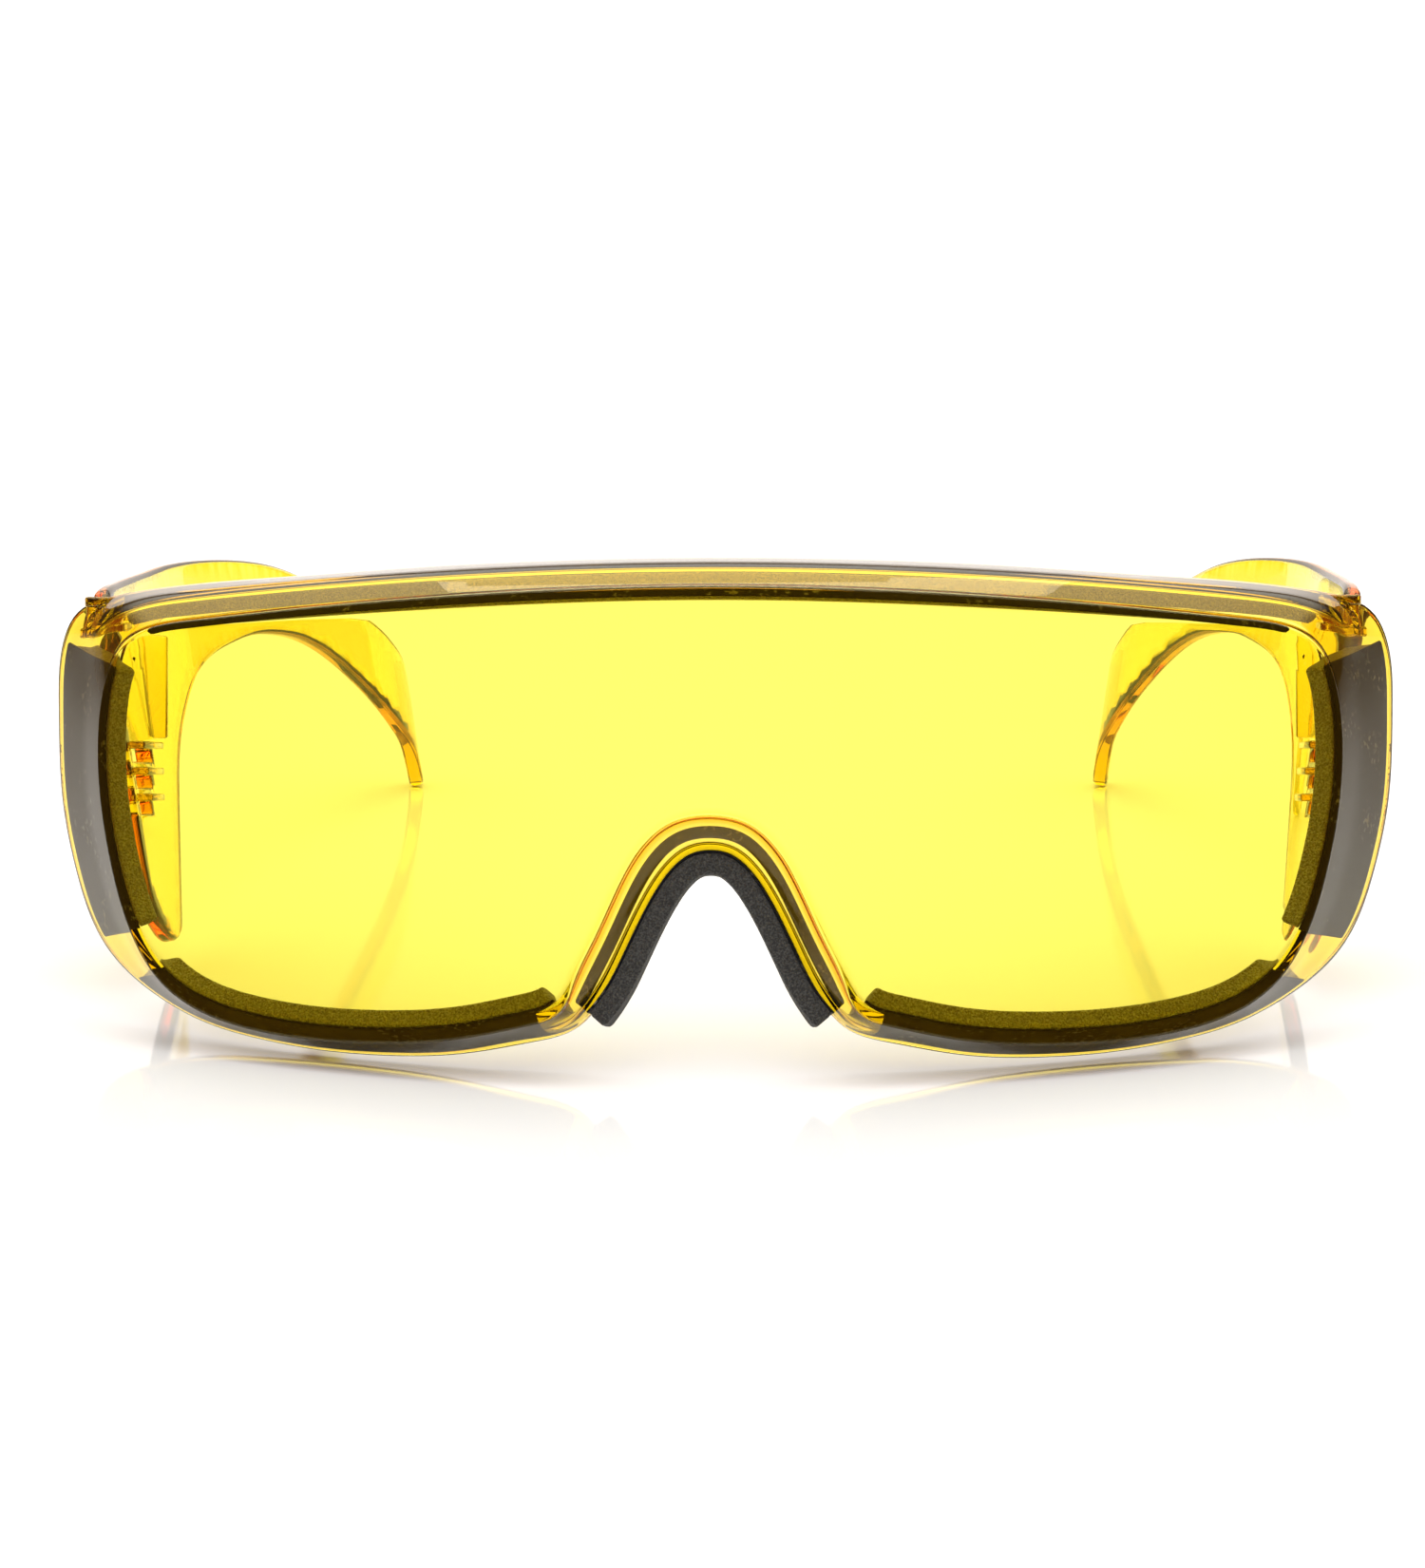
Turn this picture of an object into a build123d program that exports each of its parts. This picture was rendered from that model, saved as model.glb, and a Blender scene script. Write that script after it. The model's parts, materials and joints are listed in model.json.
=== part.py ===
from build123d import *
import os
from math import cos, radians, sin, sqrt

# Fit-over safety glasses with a one-piece lens front and foam edge strips.
# Millimetres. Everything is drawn in the frame of the upright lens: X to the wearer's left,
# Y backwards from the middle of the lens, Z up. At the end it leans back onto the lower flanges
# and the temple tips, as the open glasses stand on a table.

LENS_RADIUS = 140.0          # outside radius of the cylindrical lens
LENS_WALL = 2.2
FLANGE_WALL = 1.6
RIDGE_LIP = 0.4              # the lens edge stands this far outside the flange
FLANGE_ROOT = 0.9            # depth inside the lens wall at which the flange starts
LEAN = 12.1                  # degrees between the lens and the vertical, at rest on a table
FACETS = 2                   # facets between two stations of the flange

ADHESIVE = 0.2               # film thickness
BOND_GAP = 0.03              # space left between bonded faces

PIN_X, PIN_Y = 75.35, 36.0   # hinge axis
PIN_RADIUS = 1.45
PIN_RUNNING_FIT = 0.07
PIN_PRESS_FIT = 0.02
LUG_RADIUS = 2.7
LUG_BOTTOM, LUG_TOP = 49.4, 54.5
LUG_ROOT = 7.0               # the lugs reach this far forward from the pin, into the flange
KNUCKLE_RADIUS = 2.6
KNUCKLE_BOTTOM, KNUCKLE_TOP = 50.8, 52.9
KNUCKLE_GAP = 0.3            # clearance of the knuckle from the lugs
PIN_HEAD = 0.3               # the pin stands out of the lugs by this much

TEMPLE_WALL = 2.2
TEMPLE_TILT = 0.15           # outward slope of the temple panel, per unit of height
TEMPLE_MID = 35.0            # height at which the plan curve below holds
PLAN_SAMPLES = 14            # places at which the panel's two faces are set out

# Stations of the flange on the +X half, in order from the middle of the brow, round the side, to
# the middle of the nose: ridge x, ridge z, rim x, rim depth behind the ridge, rim z, and the
# place of the bend between them as shares of the way across and of the way back.
STATIONS = [
    (0.0, 53.8, 0.0, 14.5, 58.5, 0.78, 0.31),
    (16.5, 53.5, 16.8, 14.5, 58.3, 0.78, 0.31),
    (33.2, 52.7, 34.2, 14.3, 57.7, 0.78, 0.31),
    (50.3, 51.5, 52.5, 14.0, 56.7, 0.78, 0.31),
    (62.1, 50.5, 66.0, 13.5, 55.9, 0.75, 0.33),
    (67.4, 49.8, 73.3, 12.8, 55.0, 0.7, 0.36),
    (70.9, 48.2, 79.3, 13.4, 53.2, 0.55, 0.4),
    (72.9, 45.4, 81.9, 14.4, 49.4, 0.45, 0.42),
    (74.4, 39.0, 82.8, 15.0, 41.0, 0.4, 0.4),
    (74.3, 30.5, 82.4, 15.0, 30.5, 0.4, 0.4),
    (72.8, 22.0, 80.5, 14.8, 21.2, 0.4, 0.4),
    (70.0, 13.6, 76.8, 14.0, 12.4, 0.4, 0.4),
    (66.6, 8.5, 71.6, 11.5, 7.4, 0.45, 0.45),
    (61.5, 5.0, 64.0, 9.2, 3.2, 0.5, 0.5),
    (54.5, 2.9, 55.6, 8.0, 0.8, 0.5, 0.5),
    (46.5, 1.9, 47.2, 7.5, -0.5, 0.5, 0.5),
    (38.0, 1.7, 38.2, 7.3, -1.0, 0.5, 0.5),
    (29.5, 2.3, 29.3, 7.3, -0.6, 0.5, 0.5),
    (21.8, 3.8, 20.8, 7.6, 0.9, 0.5, 0.5),
    (17.6, 5.6, 15.4, 8.0, 2.9, 0.7, 0.42),
    (16.4, 8.4, 12.8, 8.0, 5.9, 0.85, 0.42),
    (14.0, 13.6, 10.0, 8.0, 11.2, 0.92, 0.42),
    (11.4, 19.2, 7.4, 8.0, 16.6, 0.93, 0.42),
    (8.7, 24.0, 4.9, 8.0, 20.6, 0.93, 0.42),
    (5.0, 27.4, 2.5, 8.0, 22.8, 0.93, 0.42),
    (0.0, 28.5, 0.0, 8.0, 23.4, 0.93, 0.42),
]

# Foam strips: first and last station, distance kept from the ridge or the bend and from the rim,
# thickness, and where the strip lies: on the whole flange, or on its rear leg, inside or outside.
BROW_FOAM = (0.0, 5.0, 2.0, 0.8, 2.0, "rear")
SIDE_FOAM = (7.0, 11.0, 1.7, 1.0, 2.6, "whole")
LOWER_FOAM = (12.0, 19.0, 1.5, 0.5, 2.2, "whole")
NOSE_FOAM = (19.5, 25.0, 0.3, 0.4, 2.5, "outside")

# The temple's centre line in plan at TEMPLE_MID: x, y.
TEMPLE_PLAN = [
    (75.2, 38.0), (75.1, 50.0), (74.6, 62.0), (73.3, 76.0), (69.9, 91.0), (65.2, 104.0),
    (60.2, 120.0), (55.8, 137.0), (52.9, 150.0), (52.1, 160.0), (53.4, 172.0),
]
# Its outline in side view: y, z.
TEMPLE_TOP_EDGE = [(41.0, 55.6), (59.0, 58.1), (80.0, 60.8), (103.0, 62.4), (122.0, 60.6), (141.0, 56.4),
                   (154.0, 52.4)]
TEMPLE_TAIL = [(154.0, 52.4), (161.8, 48.6), (164.2, 43.4), (165.6, 38.0), (167.4, 33.4)]
TEMPLE_TAIL_END = [(167.4, 33.4), (165.4, 31.2), (162.2, 32.2)]
TEMPLE_TAIL_FRONT = [(162.2, 32.2), (158.6, 35.8), (152.5, 39.2), (144.0, 43.3)]
TEMPLE_UNDER_ARM = [(144.0, 43.3), (137.0, 46.3), (124.0, 50.6), (109.5, 52.4), (97.0, 50.8), (84.0, 45.6)]
SHIELD_REAR_EDGE = [(84.0, 45.6), (73.5, 36.4), (66.6, 25.0), (60.6, 14.2)]
SHIELD_BOTTOM = [(60.6, 14.2), (57.8, 11.6), (54.0, 11.4)]
SHIELD_FRONT = [(54.0, 11.4), (45.0, 15.4), (41.6, 21.0), (41.0, 28.0)]

LOUVRE_COUNT = 3
LOUVRE_PITCH = 3.3
LOUVRE_FIRST_Z = 27.6
LOUVRE_FRONT = 44.0
LOUVRE_REAR = 51.6           # rear end of the lowest slot
LOUVRE_STEP = 2.4            # each slot above is this much longer
LOUVRE_SLOT = 1.7
BLADE_REACH = 1.8            # how far the blades and the rib stand in from the panel
BLADE_WALL = 1.0
RIB_Y, RIB_BOTTOM, RIB_TOP = 58.6, 37.4, 50.6


def lens_depth(x, radius=LENS_RADIUS):
    """Y of the cylinder of the given radius about the lens axis, at x."""
    return LENS_RADIUS - sqrt(radius**2 - x**2)


def control(index):
    """Ridge, bend and rim points of one station; stations past an end are mirrored ones."""
    last = len(STATIONS) - 1
    side = 1
    if index < 0:
        index, side = -index, -1
    if index > last:
        index, side = 2 * last - index, -1
    ridge_x, ridge_z, rim_x, rim_back, rim_z, across, back = STATIONS[index]
    ridge_y = lens_depth(ridge_x) + FLANGE_ROOT
    rim_y = lens_depth(ridge_x) + rim_back
    ridge = Vector(side * ridge_x, ridge_y, ridge_z)
    rim = Vector(side * rim_x, rim_y, rim_z)
    bend = Vector(side * (ridge_x + across * (rim_x - ridge_x)),
                  ridge_y + back * (rim_y - ridge_y),
                  ridge_z + across * (rim_z - ridge_z))
    return ridge, bend, rim


def between(before, here, there, after, t):
    """Point at t from here to there on a smooth curve through four points."""
    return (here * 2 + (there - before) * t + (before * 2 - here * 5 + there * 4 - after) * t**2
            + (here * 3 - before - there * 3 + after) * t**3) * 0.5


def rails(place):
    """Ridge, bend and rim points at any place along the flange."""
    index = min(int(place), len(STATIONS) - 2)
    four = [control(index + step) for step in (-1, 0, 1, 2)]
    return [between(*points, place - index) for points in zip(*four)]


def inward(place):
    """Unit vectors square to the front leg, the rear leg and both, towards the eye."""
    index = min(int(place), len(STATIONS) - 2)
    here, there = [control(i + 1)[2] - control(i - 1)[2] for i in (index, index + 1)]
    tangent = here + (there - here) * (place - index)
    ridge, bend, rim = rails(place)
    return [leg.cross(tangent).normalized() for leg in (bend - ridge, rim - bend, rim - ridge)]


def places(first, last):
    """Places of the facets' edges from first to last."""
    count = round((last - first) * FACETS)
    return [first + i / FACETS for i in range(count + 1)]


def flange_section(place):
    """The flange's bent cross-section."""
    ridge, bend, rim = rails(place)
    front, rear, _ = inward(place)
    middle = (front + rear).normalized()
    wall = FLANGE_WALL
    return Polyline(ridge, bend, rim, rim + rear * wall, bend + middle * wall, ridge + front * wall,
                    close=True)


def strip_section(place, strip, near, far):
    """A foam or adhesive section that lies between two distances from the flange's outside."""
    _, _, start, margin, _, leg = strip
    ridge, bend, rim = rails(place)
    _, rear, whole = inward(place)
    foot, normal = (ridge, whole) if leg == "whole" else (bend, rear)
    along = (rim - foot).normalized()
    front_end = foot + along * start
    rear_end = rim - along * margin
    return Polyline(front_end + normal * near, rear_end + normal * near, rear_end + normal * far,
                    front_end + normal * far, close=True)


def ruled(sections):
    """Solid with straight facets between neighbouring sections."""
    return Solid.make_loft([Wire(section.edges()) for section in sections], ruled=True)


def strip(layout):
    """The foam and the adhesive film of one strip, on the +X half."""
    thickness, leg = layout[4], layout[5]
    wall, side = (0.0, -1) if leg == "outside" else (FLANGE_WALL, 1)
    film_near = wall + BOND_GAP
    foam_near = film_near + ADHESIVE + BOND_GAP
    foam_far = foam_near + thickness
    film, foam = [
        ruled([strip_section(place, layout, side * near, side * far) for place in places(*layout[:2])])
        for near, far in ((film_near, film_near + ADHESIVE), (foam_near, foam_far))
    ]
    return foam, film


def lens_plate():
    """The cylindrical lens, cut to the ridge outline and its lip."""
    ridge = [rails(place)[0] for place in places(0, len(STATIONS) - 1)]
    right = [(point.X, point.Z) for point in ridge]
    left = [(-x, z) for x, z in right[-2:0:-1]]
    outline = make_face(Plane.XZ * Polyline(*right, *left, close=True))
    outline = offset(outline, amount=RIDGE_LIP, kind=Kind.INTERSECTION)
    ring = Cylinder(LENS_RADIUS, 100) - Cylinder(LENS_RADIUS - LENS_WALL, 100)
    front_half = Pos(0, 30, 30) * Box(200, 62, 100)
    return extrude(outline, amount=60, both=True) & (Pos(0, LENS_RADIUS, 30) * ring & front_half)


def flange():
    """Brow shelf, side wing, lower flange and nose flange of the +X half."""
    return ruled([flange_section(place) for place in places(0, len(STATIONS) - 1)])


def upright(radius, bottom, top):
    """Cylinder on the hinge axis of the +X side."""
    return Pos(PIN_X, PIN_Y, (bottom + top) / 2) * Cylinder(radius, top - bottom)


def block(x, y, z):
    """Box between pairs of limits."""
    middle = [(low + high) / 2 for low, high in (x, y, z)]
    return Pos(*middle) * Box(*[high - low for low, high in (x, y, z)])


def hinge_lugs():
    """The block in the upper corner of the +X half and its two lugs, with the pin's bore."""
    x = (PIN_X - LUG_RADIUS, PIN_X + LUG_RADIUS)
    z = (LUG_BOTTOM, LUG_TOP)
    body = block(x, (PIN_Y - LUG_ROOT, PIN_Y), z) + upright(LUG_RADIUS, *z)
    slot_z = (KNUCKLE_BOTTOM - KNUCKLE_GAP, KNUCKLE_TOP + KNUCKLE_GAP)
    slot = upright(LUG_RADIUS + KNUCKLE_GAP, *slot_z)
    slot += block((PIN_X - 8, PIN_X + 8), (PIN_Y, PIN_Y + 8), slot_z)
    return body - slot - upright(PIN_RADIUS + PIN_PRESS_FIT, *z)


def hinge_pin():
    return upright(PIN_RADIUS, LUG_BOTTOM - PIN_HEAD, LUG_TOP + PIN_HEAD)


def side_outline():
    """The temple and its side shield, as seen from the side."""
    curves = [Spline(*points) for points in (TEMPLE_TOP_EDGE, TEMPLE_TAIL, TEMPLE_TAIL_END,
                                             TEMPLE_TAIL_FRONT, TEMPLE_UNDER_ARM, SHIELD_REAR_EDGE,
                                             SHIELD_BOTTOM, SHIELD_FRONT)]
    curves.append(Line(SHIELD_FRONT[-1], TEMPLE_TOP_EDGE[0]))
    return make_face(Plane.YZ * Wire(curves))


def temple_panel():
    """The thin tilted panel that both the arm and the shield are cut from."""
    centre = Spline(*TEMPLE_PLAN)
    inner, outer = [], []
    for i in range(PLAN_SAMPLES + 1):
        point, tangent = centre @ (i / PLAN_SAMPLES), centre % (i / PLAN_SAMPLES)
        square = Vector(-tangent.Y, tangent.X, 0) * (TEMPLE_WALL / 2)
        inner.append(point + square)
        outer.append(point - square)
    ends = [Line(inner[-1], outer[-1]), Line(outer[0], inner[0])]
    slab = make_face(Wire([Spline(*inner), ends[0], Spline(*reversed(outer)), ends[1]]))
    drop = TEMPLE_MID + 5
    rise = Vector(TEMPLE_TILT, 0, 1) * 80
    slab = Pos(-TEMPLE_TILT * drop, 0, TEMPLE_MID - drop) * slab
    panel = extrude(slab, amount=rise.length, dir=rise.normalized())
    return panel & extrude(side_outline(), amount=120, dir=(1, 0, 0))


def panel_x(y, z):
    """X of the panel's middle surface at a place in side view."""
    for (x0, y0), (x1, y1) in zip(TEMPLE_PLAN, TEMPLE_PLAN[1:]):
        if y0 <= y <= y1:
            return x0 + (x1 - x0) * (y - y0) / (y1 - y0) + TEMPLE_TILT * (z - TEMPLE_MID)


def temple():
    """One temple of the +X side, with its knuckle, vent louvres and rib."""
    body = temple_panel()
    for i in range(LOUVRE_COUNT):
        z = LOUVRE_FIRST_Z + i * LOUVRE_PITCH
        rear = LOUVRE_REAR + i * LOUVRE_STEP
        x = panel_x(LOUVRE_FRONT + 4, z)
        inner = x - TEMPLE_WALL / 2
        body -= block((x - 4, x + 4), (LOUVRE_FRONT, rear), (z, z + LOUVRE_SLOT))
        body += block((inner - BLADE_REACH, inner + 0.8), (LOUVRE_FRONT - 0.8, rear + 0.8),
                      (z + LOUVRE_SLOT, z + LOUVRE_SLOT + BLADE_WALL))
    rib_z = (RIB_BOTTOM, RIB_TOP)
    rib_x = [panel_x(RIB_Y, z) - TEMPLE_WALL / 2 for z in rib_z]
    body += block((rib_x[0] - BLADE_REACH, rib_x[1] + 0.8), (RIB_Y, RIB_Y + BLADE_WALL), rib_z)
    knuckle_z = (KNUCKLE_BOTTOM, KNUCKLE_TOP)
    body += upright(KNUCKLE_RADIUS, *knuckle_z)
    body += block((PIN_X, PIN_X + KNUCKLE_RADIUS), (PIN_Y, TEMPLE_TOP_EDGE[0][0] + 3), knuckle_z)
    return body - upright(PIN_RADIUS + PIN_RUNNING_FIT, *knuckle_z)


def both_sides(shape):
    return shape + mirror(shape, about=Plane.YZ)


front = lens_plate() + both_sides(flange()) + both_sides(hinge_lugs())

nodes = {"front_lens": front}
for name, layout in (("brow", BROW_FOAM), ("nose", NOSE_FOAM)):
    foam, film = strip(layout)
    nodes[f"{name}_foam"] = both_sides(foam)
    nodes[f"{name}_adhesive"] = both_sides(film)

one_side = {"hinge_pin": hinge_pin(), "temple": temple()}
for name, layout in (("side", SIDE_FOAM), ("lower", LOWER_FOAM)):
    one_side[f"{name}_foam"], one_side[f"{name}_adhesive"] = strip(layout)
for name, shape in one_side.items():
    nodes[f"left_{name}"] = shape
    nodes[f"right_{name}"] = mirror(shape, about=Plane.YZ)

leant = {name: Rot(X=-LEAN) * shape for name, shape in nodes.items()}
box = Compound(list(leant.values())).bounding_box()
to_origin = Pos(-box.center().X, -box.center().Y, -box.min.Z)

os.makedirs("parts", exist_ok=True)
for name, shape in leant.items():
    export_step(to_origin * shape, f"parts/{name}.step")

pin_foot = to_origin * Rot(X=-LEAN) * Pos(PIN_X, PIN_Y, KNUCKLE_BOTTOM)
print("size", box.size)
print("hinge axis through", pin_foot.position, "direction", 0, sin(radians(LEAN)), cos(radians(LEAN)))
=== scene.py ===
import json
import math

import bmesh
import bpy
import numpy as np
from mathutils import Matrix, Vector
from mathutils.geometry import delaunay_2d_cdt


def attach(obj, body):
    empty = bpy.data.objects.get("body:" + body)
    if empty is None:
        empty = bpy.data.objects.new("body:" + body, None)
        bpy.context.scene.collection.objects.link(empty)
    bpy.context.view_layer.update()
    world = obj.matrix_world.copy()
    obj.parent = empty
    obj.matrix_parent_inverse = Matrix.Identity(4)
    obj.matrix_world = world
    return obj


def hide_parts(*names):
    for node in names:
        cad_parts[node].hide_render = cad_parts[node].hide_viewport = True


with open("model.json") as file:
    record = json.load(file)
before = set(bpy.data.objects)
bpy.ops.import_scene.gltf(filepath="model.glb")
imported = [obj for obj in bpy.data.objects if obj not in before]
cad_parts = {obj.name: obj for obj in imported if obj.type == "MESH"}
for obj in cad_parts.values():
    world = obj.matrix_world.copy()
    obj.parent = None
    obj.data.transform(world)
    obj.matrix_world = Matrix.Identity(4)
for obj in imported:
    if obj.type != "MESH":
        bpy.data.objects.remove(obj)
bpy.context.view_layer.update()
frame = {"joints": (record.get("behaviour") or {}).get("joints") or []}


# ---------------------------------------------------------------------------------------------
# Lens front
# One injection moulding in clear yellow polycarbonate, polished in the tool. The lens wall runs
# over a rounded ridge into the brow shelf, the side wings, the lower flanges and the nose bridge.
# ---------------------------------------------------------------------------------------------

# Sizes here are in millimetres in the frame of the upright lens: X to the wearer's left, Y
# backwards from the middle of the lens, Z up. place() turns them into metres in the CAD frame.
LEAN = math.radians(12.1)
LENS_RADIUS = 140.0
LENS_WALL = 2.2
FLANGE_WALL = 1.6
FLANGE_ROOT = 0.9                # the bend is set out from this far behind the ridge
RIDGE_LIP, LIP_DEPTH = 0.7, 1.1  # the lens's edge stands out round the flange
HINGE_POINT = np.array([75.35, 36.0, 52.1])

# Stations of the flange, from the middle of the brow round the +X side to the middle of the
# nose: ridge x, ridge z, rim x, rim depth behind the ridge, rim z, and the place of the bend as
# shares of the way across and of the way back.
STATIONS = np.array([
    (0.0, 53.8, 0.0, 14.5, 58.5, 0.78, 0.31),
    (16.5, 53.5, 16.8, 14.5, 58.3, 0.78, 0.31),
    (33.2, 52.7, 34.2, 14.3, 57.7, 0.78, 0.31),
    (50.3, 51.5, 52.5, 14.0, 56.7, 0.78, 0.31),
    (62.1, 50.5, 66.0, 13.5, 55.9, 0.75, 0.33),
    (67.4, 49.8, 73.3, 12.8, 55.0, 0.7, 0.36),
    (70.9, 48.2, 79.3, 13.4, 53.2, 0.55, 0.4),
    (72.9, 45.4, 81.9, 14.4, 49.4, 0.45, 0.42),
    (74.4, 39.0, 82.8, 15.0, 41.0, 0.4, 0.4),
    (74.3, 30.5, 82.4, 15.0, 30.5, 0.4, 0.4),
    (72.8, 22.0, 80.5, 14.8, 21.2, 0.4, 0.4),
    (70.0, 13.6, 76.8, 14.0, 12.4, 0.4, 0.4),
    (66.6, 8.5, 71.6, 11.5, 7.4, 0.45, 0.45),
    (61.5, 5.0, 64.0, 9.2, 3.2, 0.5, 0.5),
    (54.5, 2.9, 55.6, 8.0, 0.8, 0.5, 0.5),
    (46.5, 1.9, 47.2, 7.5, -0.5, 0.5, 0.5),
    (38.0, 1.7, 38.2, 7.3, -1.0, 0.5, 0.5),
    (29.5, 2.3, 29.3, 7.3, -0.6, 0.5, 0.5),
    (21.8, 3.8, 20.8, 7.6, 0.9, 0.5, 0.5),
    (17.6, 5.6, 15.4, 8.0, 2.9, 0.7, 0.42),
    (16.4, 8.4, 12.8, 8.0, 5.9, 0.85, 0.42),
    (14.0, 13.6, 10.0, 8.0, 11.2, 0.92, 0.42),
    (11.4, 19.2, 7.4, 8.0, 16.6, 0.93, 0.42),
    (8.7, 24.0, 4.9, 8.0, 20.6, 0.93, 0.42),
    (5.0, 27.4, 2.5, 8.0, 22.8, 0.93, 0.42),
    (0.0, 28.5, 0.0, 8.0, 23.4, 0.93, 0.42),
])
LAST = len(STATIONS) - 1
UPPER_CORNER, LOWER_CORNER = 6.3, 12.3   # places on the flange where the lens's sides meet
LENS_COLUMNS, LENS_ROWS = 220, 64
FACE_INSET, BACK_INSET = 3.2, 2.2        # from the ridge and from the root to the lens's faces
JUNCTION_DEPTH = 1.35                    # the flange leaves the lip this many lip depths back
NOSE_START, NOSE_EASE = 19.0, 6.0        # station and length over which the nose's cuts begin
# How far each corner of the edge's section is cut back to round it, and the same at the nose.
EDGE_CUTS = (0.4, 0.3, 0.3, 1.6, 0.7, 0.7, 1.2, 0.9)
NOSE_CUTS = (0.4, 0.3, 0.3, 3.2, 0.7, 0.7, 0.7, 0.9)
ARC_STEPS = 7

cosine, sine = math.cos(LEAN), math.sin(LEAN)
TO_FRAME = np.array([[1, 0, 0], [0, cosine, sine], [0, -sine, cosine]])
hinge_at = {joint["name"]: np.array(joint["pos_m"]) for joint in frame["joints"]}
SHIFT = hinge_at["left_temple_fold"] - TO_FRAME @ HINGE_POINT / 1000


def place(points):
    """The lens frame's millimetres leaned back about X, made metres and moved to the CAD frame."""
    return np.asarray(points) @ TO_FRAME.T / 1000 + SHIFT


def lens_depth(x, radius=LENS_RADIUS):
    """The centre's distance less the root of radius squared less x squared."""
    return LENS_RADIUS - np.sqrt(radius**2 - x**2)


def unit(vectors):
    """Vectors divided by their lengths."""
    return vectors / np.linalg.norm(vectors, axis=-1, keepdims=True)


def flange_controls():
    """Ridge, bend and rim points at the stations all the way round: the +X half, then its mirror."""
    other_half = STATIONS[-2:0:-1] * np.array([-1, 1, -1, 1, 1, 1, 1])
    ring = np.vstack([STATIONS, other_half])
    ridge_x, ridge_z, rim_x, back, rim_z, across, share = ring.T
    depth = lens_depth(ridge_x)
    ridge = np.stack([ridge_x, depth, ridge_z], 1)
    rim = np.stack([rim_x, depth + back, rim_z], 1)
    step = np.stack([across, share, across], 1)
    foot = ridge + np.array([0, FLANGE_ROOT, 0])
    return ridge, foot + (rim - foot) * step, rim


RIDGE, BEND, RIM = flange_controls()
KNOTS = np.concatenate([[0], np.cumsum(np.linalg.norm(np.roll(RIDGE, -1, 0) - RIDGE, axis=1))])


def spline(points, knots, at, closed=True):
    """Cubic spline through the points at the knots: slopes come from the linear system that makes
    the second derivative continuous (zero at the ends if open), and Hermite pieces join them."""
    count, h = len(points), np.diff(knots)
    i = np.arange(count)
    if closed:
        at = np.mod(at, knots[-1])
        following, before = h, np.roll(h, 1)
        rise = (np.roll(points, -1, 0) - points) / h[:, None]
        right = 3 * (before[:, None] * rise + h[:, None] * np.roll(rise, 1, 0))
        diagonal, lower, upper = 2 * (h + before), following, before
    else:
        rise = np.diff(points, axis=0) / h[:, None]
        following, before = np.append(h, 0), np.append(0, h)
        right = np.zeros(points.shape)
        right[1:-1] = 3 * (h[:-1, None] * rise[1:] + h[1:, None] * rise[:-1])
        right[0], right[-1] = 3 * rise[0], 3 * rise[-1]
        diagonal, lower, upper = 2 * (following + before), following, before
        diagonal[[0, -1]], upper[0], lower[-1] = 2, 1, 1
        upper[-1] = lower[0] = 0
    system = np.zeros((count, count))
    system[i, i] = diagonal
    system[i, i - 1] += lower
    system[i, (i + 1) % count] += upper
    slopes = np.linalg.solve(system, right)
    k = np.clip(np.searchsorted(knots, at, side="right") - 1, 0, len(h) - 1)
    n, width = (k + 1) % count, h[k][:, None]
    t = ((at - knots[k]) / h[k])[:, None]
    return ((2 * t**3 - 3 * t**2 + 1) * points[k] + (t**3 - 2 * t**2 + t) * width * slopes[k]
            + (3 * t**2 - 2 * t**3) * points[n] + (t**3 - t**2) * width * slopes[n])


def flange_at(at):
    """Ridge, bend and rim at distances along the ridge, and unit vectors there: along the ridge,
    outwards in the lens's plane, and inwards square to the front leg, the rear leg and both."""
    ridge, bend, rim = [spline(points, KNOTS, at) for points in (RIDGE, BEND, RIM)]
    ridge[:, 1] = lens_depth(ridge[:, 0])
    step = 0.02
    along = unit(spline(RIM, KNOTS, at + step) - spline(RIM, KNOTS, at - step))
    ridge_along = unit(spline(RIDGE, KNOTS, at + step) - spline(RIDGE, KNOTS, at - step))
    outward = unit(np.stack([-ridge_along[:, 2], 0 * at, ridge_along[:, 0]], 1))
    inward = [unit(np.cross(leg, along)) for leg in (bend - ridge, rim - bend, rim - ridge)]
    return ridge, bend, rim, outward, inward


def distance(station):
    """Distance along the ridge of a place given in stations. Past LAST it goes on round the -X
    half, and below 0 it goes back along it."""
    if station > LAST:
        return KNOTS[-1] - distance(2 * LAST - station)
    value = np.interp(abs(station), np.arange(LAST + 1), KNOTS[:LAST + 1])
    return value if station >= 0 else -value


def rounded(corners, cuts, arc_steps, leg_steps=3):
    """Rows of points along a bent strip: straight legs, and at each inner corner a parabola from
    one cut to the other, (1-s)^2 A + 2 s (1-s) corner + s^2 B."""
    rows = []
    start = corners[0]
    for before, corner, after, cut in zip(corners, corners[1:], corners[2:], cuts):
        a = corner + unit(before - corner) * cut
        b = corner + unit(after - corner) * cut
        rows += [start + (a - start) * s for s in np.linspace(0, 1, leg_steps + 1)[:-1]]
        s = np.linspace(0, 1, arc_steps + 1)
        rows += [(1 - t)**2 * a + 2 * t * (1 - t) * corner + t**2 * b for t in s[:-1]]
        start = b
    rows += [start + (corners[-1] - start) * s for s in np.linspace(0, 1, leg_steps + 1)]
    return np.array(rows)


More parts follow.
